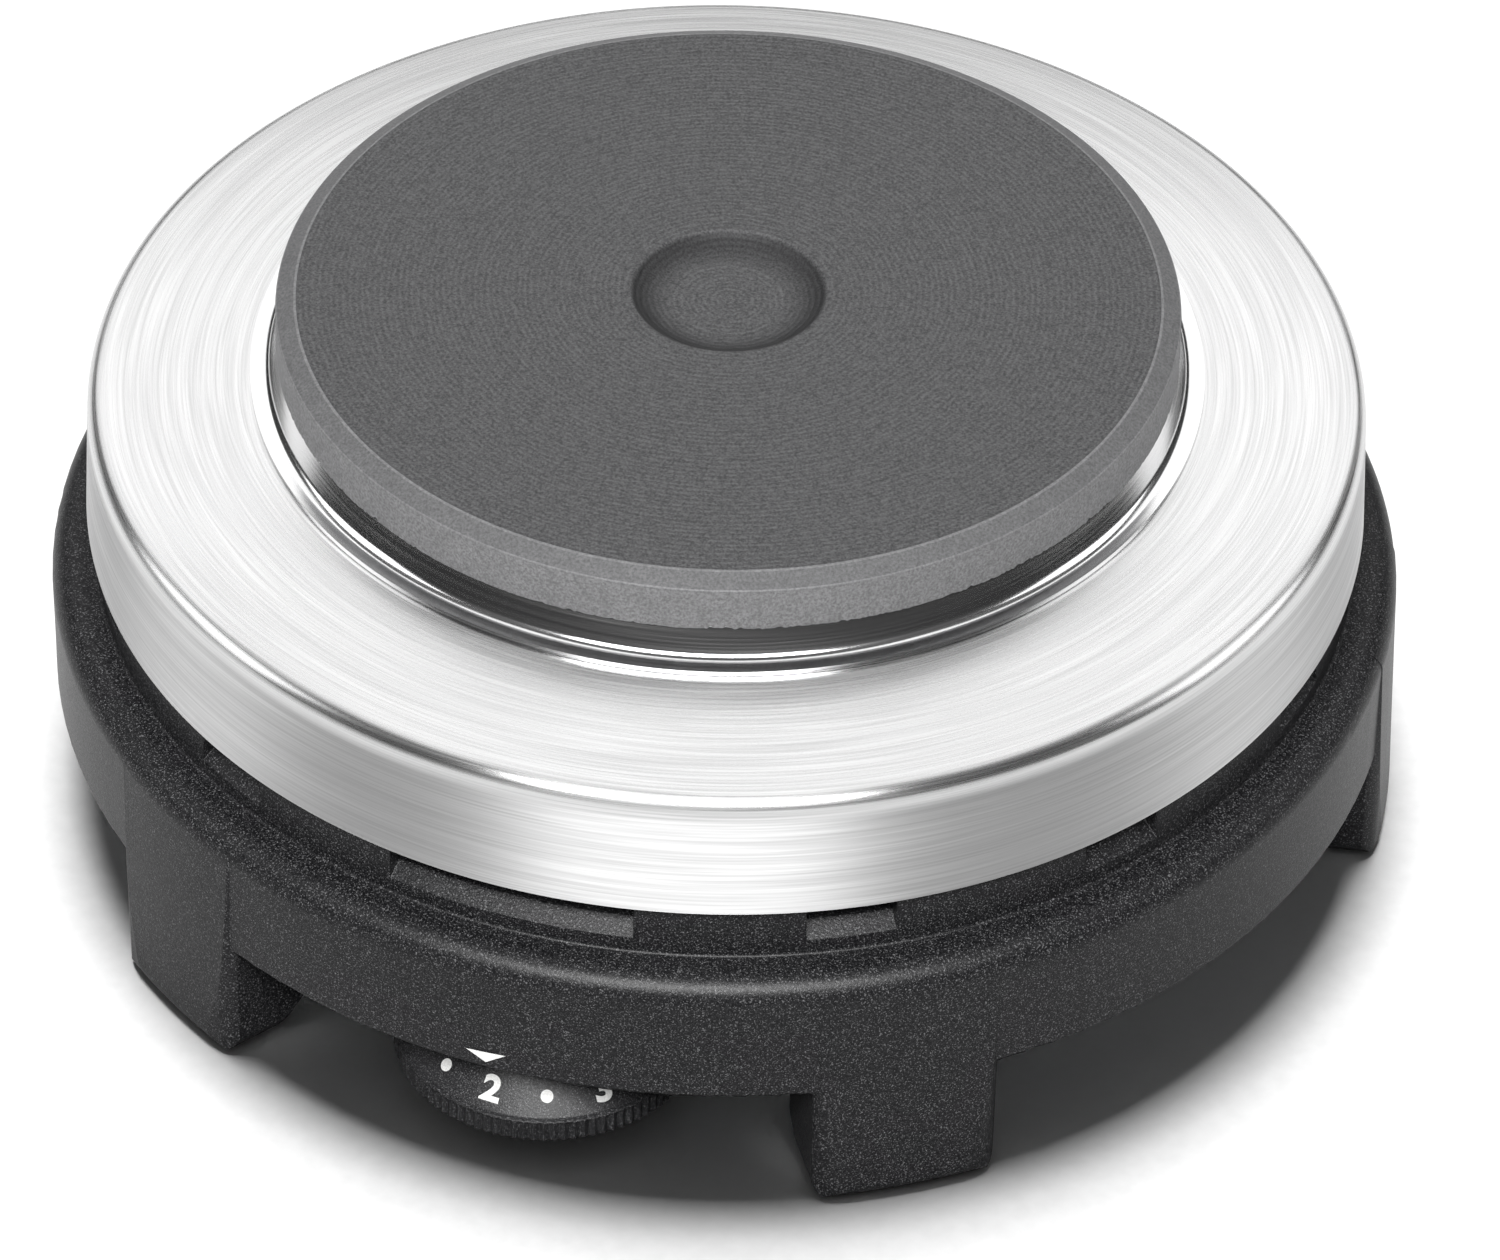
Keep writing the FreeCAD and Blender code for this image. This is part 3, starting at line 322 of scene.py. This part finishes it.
def brushed_stainless():
    """Stainless sheet brushed as it spins: hairlines around the axis smear lights across them."""
    material, tree, shader = finish("brushed_stainless")
    # hairlines drawn 0.2 mm apart, coarser than the real ones, so that they show
    hair = lathe_lines(tree, 0.22, 0.35, 3.0)
    band = lathe_lines(tree, 1.4, 0.5)
    shade = blend_colours(tree, spread(tree, hair, 0.32, 0.68), "#c2c2c2", "#e2e2e2")
    shade = blend_colours(tree, spread(tree, band, 0.3, 0.7, 0.0, 0.3), shade, "#b4b4b5")
    # the skirt is brushed more coarsely than the top
    _, height, _ = turned_place(tree)
    skirt = spread(tree, height, 0.0405, 0.042, 0.26, 0.0)
    drawn_out = spread(tree, height, 0.0405, 0.042, 0.97, 0.75)
    gloss = spread(tree, hair, 0.3, 0.7, 0.23, 0.31)
    dulled = add(tree, "Math", {"operation": "ADD"}, {0: gloss, 1: skirt})
    wire_up(
        tree,
        shader,
        {
            "Base Color": shade,
            "Metallic": 1.0,
            "Roughness": dulled.outputs[0],
            "Anisotropic": drawn_out,
            "Anisotropic Rotation": 0.25,
            "Tangent": add(tree, "Tangent", {"direction_type": "RADIAL", "axis": "Z"}).outputs[0],
            "Normal": relief(tree, hair, 0.002, 0.5),
        },
    )
    return material


def polished_stainless():
    """Pressed stainless ring, polished: near mirror, with faint drawing marks."""
    material, tree, shader = finish("polished_stainless")
    marks = lathe_lines(tree, 0.3, 0.8, 3.0)
    shade = blend_colours(tree, spread(tree, marks, 0.3, 0.7), "#d2d2d3", "#ececec")
    wire_up(
        tree,
        shader,
        {
            "Base Color": shade,
            "Metallic": 1.0,
            "Roughness": spread(tree, marks, 0.3, 0.7, 0.12, 0.2),
            "Normal": relief(tree, marks, 0.003, 0.5),
        },
    )
    return material


def speckled_thermoset(name, dark, light, grit, roughness, ior=1.55):
    """Black phenolic moulding: a grained matt skin, with pale specks painted into its colour as
    glints.
    """
    material, tree, shader = finish(name)
    skin = grain(tree, grit, 3.0, 0.6)
    speck = spread(tree, grain(tree, grit * 0.6, 2.0, 0.5), 0.56, 0.74)
    # moulded edges are never sharp: they catch a thin line of light
    edge = add(tree, "Bevel", {"samples": 6}, {"Radius": 0.18 * MM}).outputs[0]
    shade = blend_colours(tree, spread(tree, skin, 0.4, 0.68), dark, light)
    # painted glints: pale specks in the colour stand in for light glinting off the grain
    shade = blend_colours(tree, speck, shade, "#4a4a4b")
    wire_up(
        tree,
        shader,
        {
            "Base Color": shade,
            "Roughness": spread(tree, skin, 0.3, 0.7, roughness, roughness + 0.12),
            "IOR": ior,
            "Specular IOR Level": 0.1,
            "Normal": relief(tree, skin, 0.03, 1.0, edge),
        },
    )
    return material


def metal_stock(name, dark, light, roughness, grain_size, depth):
    """Plain metal part: its own grain in colour, gloss and relief."""
    material, tree, shader = finish(name)
    fine = grain(tree, grain_size, 4.0, 0.6)
    broad = grain(tree, grain_size * 9, 2.0, 0.5)
    shade = blend_colours(tree, spread(tree, fine, 0.33, 0.67), dark, light)
    shade = blend_colours(tree, spread(tree, broad, 0.4, 0.7, 0.0, 0.35), shade, dark)
    wire_up(
        tree,
        shader,
        {
            "Base Color": shade,
            "Metallic": 1.0,
            "Roughness": spread(tree, fine, 0.3, 0.7, roughness, roughness + 0.14),
            "Normal": relief(tree, fine, depth, 0.7),
        },
    )
    return material


def dull_stock(name, dark, light, roughness, grain_size, depth, ior):
    """Plain ceramic, cement, rubber or plastic part with its own grain."""
    material, tree, shader = finish(name)
    fine = grain(tree, grain_size, 4.0, 0.6)
    shade = blend_colours(tree, spread(tree, fine, 0.33, 0.67), dark, light)
    wire_up(
        tree,
        shader,
        {
            "Base Color": shade,
            "Roughness": spread(tree, fine, 0.3, 0.7, roughness, roughness + 0.1),
            "IOR": ior,
            "Normal": relief(tree, fine, depth, 0.7),
        },
    )
    return material


top_iron = turned_cast_iron("turned_cast_iron", "#484849", "#747475")
bevel_iron = sand_cast_iron("rough_turned_iron", "#626263", "#858586", 0.04)
# painted highlight: the bevel's top and foot edges are coloured lighter, standing in for the
# light that they catch
painted_highlight_iron = sand_cast_iron("painted_highlight_iron", "#747475", "#9a9a9b", 0.03)
side_iron = sand_cast_iron("sand_cast_iron", "#767677", "#a4a4a5", 0.06)
cover_steel = brushed_stainless()
ring_steel = polished_stainless()
base_moulding = speckled_thermoset("black_phenolic", "#060607", "#141415", 0.24, 0.33)
dial_moulding = speckled_thermoset("dial_black_phenolic", "#0a0a0b", "#161617", 0.18, 0.34)
# white epoxy print: a thin matt film, slightly uneven
print_white = dull_stock("white_print", "#dededc", "#fbfbf9", 0.45, 0.15, 0.01, 1.5)

# (dark, light, roughness, grain in mm, relief in mm) of each metal
METALS = {
    # nickel-chrome tube, scaled by heat: dull brown-grey
    "heating_tube": ("#4a4541", "#6e6863", 0.5, 0.3, 0.02),
    # galvanised sheet: pale, with a faint crystal spangle
    "zinc_sheet": ("#8f9192", "#b9bbbc", 0.34, 0.8, 0.01),
    # nickel-plated wire: warm and smooth
    "nickel_pin": ("#a8a39a", "#c9c4ba", 0.22, 0.3, 0.005),
    # bright zinc-plated steel, as on bought nuts and screws
    "zinc_steel": ("#9fa1a3", "#c9cbcd", 0.26, 0.25, 0.008),
    # rolled aluminium: whitish and soft in gloss
    "bright_aluminium": ("#b5b6b8", "#d8d9da", 0.28, 0.4, 0.008),
    # turned brass: yellow, lightly tarnished
    "brass": ("#a4843f", "#c9a95c", 0.28, 0.25, 0.008),
    # hardened spring steel, blue-grey from the temper
    "spring_steel": ("#5c6066", "#858a90", 0.3, 0.3, 0.006),
    # rolled phosphor bronze: reddish
    "spring_bronze": ("#9a6a47", "#bd8a62", 0.3, 0.3, 0.006),
    # silver alloy rivet heads, slightly sulphured
    "silver_contact": ("#b9b6b0", "#dedbd5", 0.2, 0.2, 0.005),
    # bonded nickel-iron strip: cool grey
    "bimetal": ("#8b8c8a", "#adaeab", 0.3, 0.3, 0.006),
}

# (dark, light, roughness, grain in mm, relief in mm, IOR) of the rest
OTHERS = {
    # magnesia filling: chalky and open
    "cement": ("#a9a49a", "#cfcabf", 0.85, 0.4, 0.08, 1.5),
    # fired steatite: cream, dense, half matt
    "steatite": ("#d9d2c2", "#efe9da", 0.45, 0.25, 0.015, 1.6),
    # black rubber bush: matt, slightly chalky
    "gland_rubber": ("#1b1b1b", "#2d2d2c", 0.62, 0.35, 0.03, 1.52),
    # phenolic cut-out body
    "cutout_black": ("#1d1b1a", "#302d2b", 0.4, 0.3, 0.02, 1.55),
    # silicone-sleeved leads in the mains colours: soft gloss
    "lead_brown": ("#5b3a22", "#74492b", 0.42, 0.5, 0.01, 1.43),
    "lead_black": ("#1c1c1d", "#2c2c2d", 0.42, 0.5, 0.01, 1.43),
    "lead_blue": ("#22508a", "#2f66a8", 0.42, 0.5, 0.01, 1.43),
    "lead_green": ("#5f8f2a", "#a3b52f", 0.42, 0.9, 0.01, 1.43),
}

by_slot = {
    "cast_iron": side_iron,
    "polished_stainless": ring_steel,
    "brushed_stainless": cover_steel,
    "black_thermoset": base_moulding,
    "dial_black": dial_moulding,
}
by_slot.update({name: metal_stock(name + "_stock", *look) for name, look in METALS.items()})
by_slot.update({name: dull_stock(name + "_stock", *look) for name, look in OTHERS.items()})

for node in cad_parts.values():
    for place in node.material_slots:
        place.material = by_slot[place.material.name.split(".")[0]]


# ---- cooking plate ----
plate_low, plate_high = (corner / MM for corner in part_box("hotplate"))
ring_low, ring_high = (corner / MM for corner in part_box("trim_ring"))
sheet_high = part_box("plate_cover_sheet")[1] / MM
stud_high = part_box("centre_stud")[1] / MM
cover_low, cover_high = (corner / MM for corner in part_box("top_cover"))

PLATE_DRAFT = 0.1
BEVEL_WIDTH = 1.7
BEVEL_HEIGHT = 0.9
RECESS_RADIUS = 8.7
RECESS_DEPTH = 1.2
RECESS_WALL_RUN = 1.4
RECESS_ROUNDING = 4.4
RECESS_LIP = 0.3
BEVEL_TOP_ROUNDING = 0.5
BEVEL_FOOT_ROUNDING = 0.25
RIM_ROUNDING = 0.2
SLAB = 6.0
SKIRT_WALL = 3.8
CENTRE_BOSS = 9.8
RIB_WIDTH = 2.6
RIB_GAP = 0.5
CHANNELS = 3
EDGE_RAGGED = 0.2
RIM_FLASH = 0.3

plate_radius = plate_high.x - PLATE_DRAFT
rim_bottom = ring_high.z
skirt_inside = sheet_high.x - SKIRT_WALL
slab_bottom = plate_high.z - SLAB
channel_pitch = (skirt_inside - CENTRE_BOSS + RIB_WIDTH) / CHANNELS

ARC_STEPS = 14
visible_line = rounded(
    [
        (0, plate_high.z - RECESS_DEPTH, 0),
        (RECESS_RADIUS - RECESS_WALL_RUN, plate_high.z - RECESS_DEPTH, RECESS_ROUNDING),
        (RECESS_RADIUS, plate_high.z, RECESS_LIP),
        (plate_radius - BEVEL_WIDTH, plate_high.z, BEVEL_TOP_ROUNDING),
        (plate_radius, plate_high.z - BEVEL_HEIGHT, BEVEL_FOOT_ROUNDING),
        (plate_radius + PLATE_DRAFT, rim_bottom - RIM_FLASH, RIM_ROUNDING),
        (plate_radius - RIM_FLASH * 3, rim_bottom, 0),
        (sheet_high.x, rim_bottom, 0),
    ],
    ARC_STEPS,
)
# last section point of each rounding, counted along the line
bevel_top, bevel_foot, rim_foot = [(ARC_STEPS + 1) * i for i in (3, 4, 5)]
hidden_line = [(sheet_high.x, plate_low.z), (skirt_inside, plate_low.z)]
for i in range(CHANNELS):
    wall = skirt_inside - channel_pitch * i
    inner = wall - channel_pitch + RIB_WIDTH
    rib = plate_low.z + (RIB_GAP if i < CHANNELS - 1 else 0)
    hidden_line += [(wall, slab_bottom), (inner, slab_bottom), (inner, rib)]
    if i < CHANNELS - 1:
        hidden_line.append((inner - RIB_WIDTH, rib))
hidden_line += [(stud_high.x, plate_low.z), (stud_high.x, stud_high.z), (0, stud_high.z)]
section = visible_line + hidden_line
turned_piece(
    "cast_iron_plate",
    section,
    "casing",
    ["hotplate"],
    [
        (top_iron, bevel_top - ARC_STEPS),
        # the bevel's top and foot edges carry painted highlight
        (painted_highlight_iron, bevel_top),
        (bevel_iron, bevel_foot - ARC_STEPS),
        (painted_highlight_iron, bevel_foot),
        (side_iron, len(section)),
    ],
    closed=False,
    ragged=(rim_foot - ARC_STEPS, rim_foot, ragged_edge(EDGE_RAGGED)),
)

# ---- sheet pieces ----
WHOLE_SECTION = 1000
SEAT_GAP = 0.05
RING_SHEET = 0.5
RING_INNER_GAP = 0.4
RING_TUCK = 0.9
RING_TOP_BEND = 0.8
RING_FLAT = 1.65
RING_FOOT_BEND = 1.4
COVER_SHEET = 0.6
COVER_FALL = 1.3
COVER_EDGE_RADIUS = 1.3
COVER_HOLE_INSET = 1.0
SKIRT_LEAN = 0.6

ring_radius = ring_high.x
ring_foot = ring_low.z + RING_SHEET / 2
ring_flange = ring_high.z - RING_SHEET / 2
turned_piece(
    "overflow_ring",
    sheet_section(
        [
            (sheet_high.x + RING_INNER_GAP, ring_flange, 0),
            (plate_radius - RING_TUCK, ring_flange, RING_TOP_BEND),
            (ring_radius - RING_FLAT, ring_foot + SEAT_GAP, RING_FOOT_BEND),
            (ring_radius, ring_foot, 0),
        ],
        RING_SHEET,
    ),
    "casing",
    ["trim_ring"],
    [(ring_steel, WHOLE_SECTION)],
)

cover_radius = cover_high.x
corner_radius = cover_radius - SKIRT_LEAN
cover_top = ring_low.z - SEAT_GAP
cover_edge = cover_top - COVER_FALL
hole_radius = plate_radius - COVER_HOLE_INSET
slope = COVER_FALL / (corner_radius - ring_radius)
half = COVER_SHEET / 2
cover_middle = [
    (hole_radius, cover_top + slope * (ring_radius - hole_radius) - half, 0),
    (corner_radius - half, cover_edge - half, COVER_EDGE_RADIUS),
    (cover_radius - half, cover_low.z, 0),
]
turned_piece(
    "brushed_cover",
    sheet_section(cover_middle, COVER_SHEET),
    "casing",
    ["top_cover"],
    [(cover_steel, WHOLE_SECTION)],
)


# ---- dial figures ----
dial_low, dial_high = (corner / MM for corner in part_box("control_dial"))
dial_y = (dial_low.y + dial_high.y) / 2
dial_radius = dial_high.x
CONE_INSET = 0.5
KNURL_HEIGHT = 2.4
CONE_FOOT_RADIUS = dial_radius - CONE_INSET
CONE_FOOT = dial_low.z + KNURL_HEIGHT
PRINT_LIFT = 0.03
FIGURE_HEIGHT = 2.4
WIDEN = 1.15
FIGURE_START = 0.7
FIGURE_BOLDNESS = 0.038
DOT_RADIUS = 0.58
NUMBER_STEP = 48.0
TWO_AT = -4.2
SLANT = math.sqrt(0.5)


def on_cone(across, up, azimuth):
    """Point on the dial's cone, from mm across and up its slant at an azimuth."""
    radius = CONE_FOOT_RADIUS - up * SLANT
    angle = math.radians(azimuth) + across / (CONE_FOOT_RADIUS - FIGURE_HEIGHT / 2 * SLANT)
    radius += PRINT_LIFT * SLANT
    height = CONE_FOOT + (up + PRINT_LIFT) * SLANT
    return Vector(
        (radius * math.sin(angle), dial_y - radius * math.cos(angle), height)
    ) * MM


def printed_figure(digit, azimuth):
    """One figure printed on the cone, from the built-in plain typeface."""
    face = bpy.data.curves.new("figure", "FONT")
    face.body = digit
    face.size = 1.0
    face.offset = FIGURE_BOLDNESS
    face.resolution_u = 6
    holder = bpy.data.objects.new("figure", face)
    bpy.context.scene.collection.objects.link(holder)
    bpy.context.view_layer.update()
    drawn = holder.evaluated_get(bpy.context.evaluated_depsgraph_get())
    flat = bpy.data.meshes.new_from_object(drawn)
    bpy.data.objects.remove(holder)
    xs = [v.co.x for v in flat.vertices]
    ys = [v.co.y for v in flat.vertices]
    grow = FIGURE_HEIGHT / (max(ys) - min(ys))
    widen = grow * WIDEN
    middle = (max(xs) + min(xs)) / 2
    points = [
        on_cone((v.co.x - middle) * widen, FIGURE_START + (v.co.y - min(ys)) * grow, azimuth)
        for v in flat.vertices
    ]
    faces = [list(p.vertices) for p in flat.polygons]
    bpy.data.meshes.remove(flat)
    return solid_piece(
        f"dial_figure_{digit}", points, faces, "dial", None, [print_white]
    )


for digit in "0123":
    printed_figure(digit, TWO_AT + NUMBER_STEP * (int(digit) - 2))
DOT_SIDES = 28
DOTS_AT = (-76.2, -28.2, 19.8)
for i, azimuth in enumerate(DOTS_AT):
    rim = [2 * math.pi * k / DOT_SIDES for k in range(DOT_SIDES)]
    middle = FIGURE_START + FIGURE_HEIGHT / 2
    points = [
        on_cone(DOT_RADIUS * math.cos(a), middle + DOT_RADIUS * math.sin(a), azimuth) for a in rim
    ]
    face = list(range(DOT_SIDES))
    solid_piece(f"dial_dot_{i + 1}", points, [face], "dial", None, [print_white])

# index: a small triangle that points down at the dial
WALL_RADIUS = 61.0
# (azimuth in degrees, height) of the top's two ends and the tip
INDEX_CORNERS = [(-2.1, 14.35), (1.3, 14.6), (-0.4, 13.3)]
INDEX_STEPS = 6
(left, left_height), (right, right_height), (tip_azimuth, tip_height) = INDEX_CORNERS
radius = (WALL_RADIUS + PRINT_LIFT) * MM
points = []
for i in range(INDEX_STEPS + 1):
    share = i / INDEX_STEPS
    azimuth = math.radians(left + (right - left) * share)
    height = left_height + (right_height - left_height) * share
    points.append((radius * math.sin(azimuth), -radius * math.cos(azimuth), height * MM))
azimuth = math.radians(tip_azimuth)
points.append((radius * math.sin(azimuth), -radius * math.cos(azimuth), tip_height * MM))
tip = len(points) - 1
solid_piece(
    "index_mark",
    points,
    [(tip, i + 1, i) for i in range(INDEX_STEPS)],
    "casing",
    None,
    [print_white],
)

# ---- floor, light and camera ----
FLOOR_HALF = 3.0
floor_mesh = bpy.data.meshes.new("studio_floor")
corners = [(-1, -1), (1, -1), (1, 1), (-1, 1)]
corners = [(x * FLOOR_HALF, y * FLOOR_HALF, 0) for x, y in corners]
floor_mesh.from_pydata(corners, [], [(0, 1, 2, 3)])
floor = bpy.data.objects.new("studio_floor", floor_mesh)
bpy.context.scene.collection.objects.link(floor)
# seamless paper: matt, with the faintest tooth
paper = dull_stock("seamless_paper", "#f4f4f4", "#fafafa", 0.9, 2.0, 0.01, 1.45)
floor_mesh.materials.append(paper)

VIEW_AZIMUTH = 18.5
view_turn = Matrix.Rotation(math.radians(VIEW_AZIMUTH), 3, "Z")


def studio_point(right, away, up):
    """Point given as right of, away from and above the plate's axis, as the camera stands."""
    return view_turn @ Vector((right, away, up))


AIM = Vector((0, 0, 0.03))


def linked(name, members, state="INCLUDE"):
    """Collection that keeps a light on these objects alone, or off them."""
    group = bpy.data.collections.new(name)
    for member in members:
        group.objects.link(member)
    for entry in group.collection_objects:
        entry.light_linking.link_state = state
    return group


off_paper = linked("off_paper", [floor], "EXCLUDE")
on_paper = linked("on_paper", [floor])
mouldings = [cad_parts[name] for name in ("base_housing", "control_dial")]
on_mouldings = linked("on_mouldings", mouldings)

# (name, width and height, azimuth from the camera, height angle, distance, brightness, lit)
LIGHTS = [
    ("front_bank", (0.7, 0.34), -6.5, 50, 0.95, 13.0, off_paper),
    # lifts the black mouldings' rounded edges out of the dark
    ("rim_bank", (0.7, 0.3), -6.5, 50, 0.96, 42.0, on_mouldings),
    ("overhead", (0.9, 0.7), 180, 74, 1.05, 1.25, off_paper),
    ("back_bank", (1.6, 0.6), 180, 40, 1.0, 1.45, off_paper),
    ("left_bank", (0.5, 0.5), -95, 33, 0.95, 2.4, off_paper),
    ("right_bank", (0.5, 0.5), 95, 33, 0.95, 2.2, off_paper),
]


def aimed(name, light, azimuth, height_angle, distance, group):
    """Light object turned to the plate from its place in the studio."""
    holder = bpy.data.objects.new(name, light)
    bpy.context.scene.collection.objects.link(holder)
    across = math.cos(math.radians(height_angle)) * distance
    up = math.sin(math.radians(height_angle)) * distance
    side = math.radians(azimuth)
    holder.location = studio_point(across * math.sin(side), -across * math.cos(side), up)
    holder.rotation_euler = (AIM - holder.location).to_track_quat("-Z", "Y").to_euler()
    holder.light_linking.receiver_collection = group


for name, size, azimuth, height_angle, distance, brightness, group in LIGHTS:
    light = bpy.data.lights.new(name, "AREA")
    light.shape = "RECTANGLE"
    light.size, light.size_y = size
    light.energy = brightness * math.pi * size[0] * size[1]
    aimed(name, light, azimuth, height_angle, distance, group)

# the paper has a light of its own, high behind the plate: its shadow falls forward
paper_light = bpy.data.lights.new("paper_light", "SUN")
paper_light.angle = math.radians(26)
paper_light.energy = 4.0
aimed("paper_light", paper_light, -168, 79, 1.5, on_paper)

world = bpy.data.worlds.new("studio")
bpy.context.scene.world = world
world.use_nodes = True
sky = world.node_tree
sky.nodes.clear()
way = add(sky, "SeparateXYZ", None, {0: add(sky, "TexCoord").outputs["Generated"]})
rise = spread(sky, way.outputs[2], 0.0, 0.8)
glow = blend_colours(sky, rise, "#1c1c1c", "#5c5c5c")
ground = add(sky, "Background", None, {"Color": glow, "Strength": 1.0})
add(sky, "OutputWorld", None, {"Surface": ground.outputs[0]})

camera_data = bpy.data.cameras.new("camera")
camera_data.sensor_width = 36.0
camera_data.lens = 173.61
camera_data.clip_start = 0.02
camera_data.clip_end = 20.0
camera = bpy.data.objects.new("camera", camera_data)
bpy.context.scene.collection.objects.link(camera)
CAMERA_PLACE = (0.0, -0.50284, 0.44697)
CAMERA_AXES = (
    (0.99986149, 0.0078169, 0.01469317),
    (-0.01623006, 0.65342287, 0.75681909),
    (-0.00368487, -0.75695274, 0.65345924),
)
axes = view_turn @ Matrix(CAMERA_AXES).transposed()
camera.matrix_world = Matrix.Translation(studio_point(*CAMERA_PLACE)) @ axes.to_4x4()
bpy.context.scene.camera = camera
bpy.context.scene.view_settings.view_transform = "Standard"
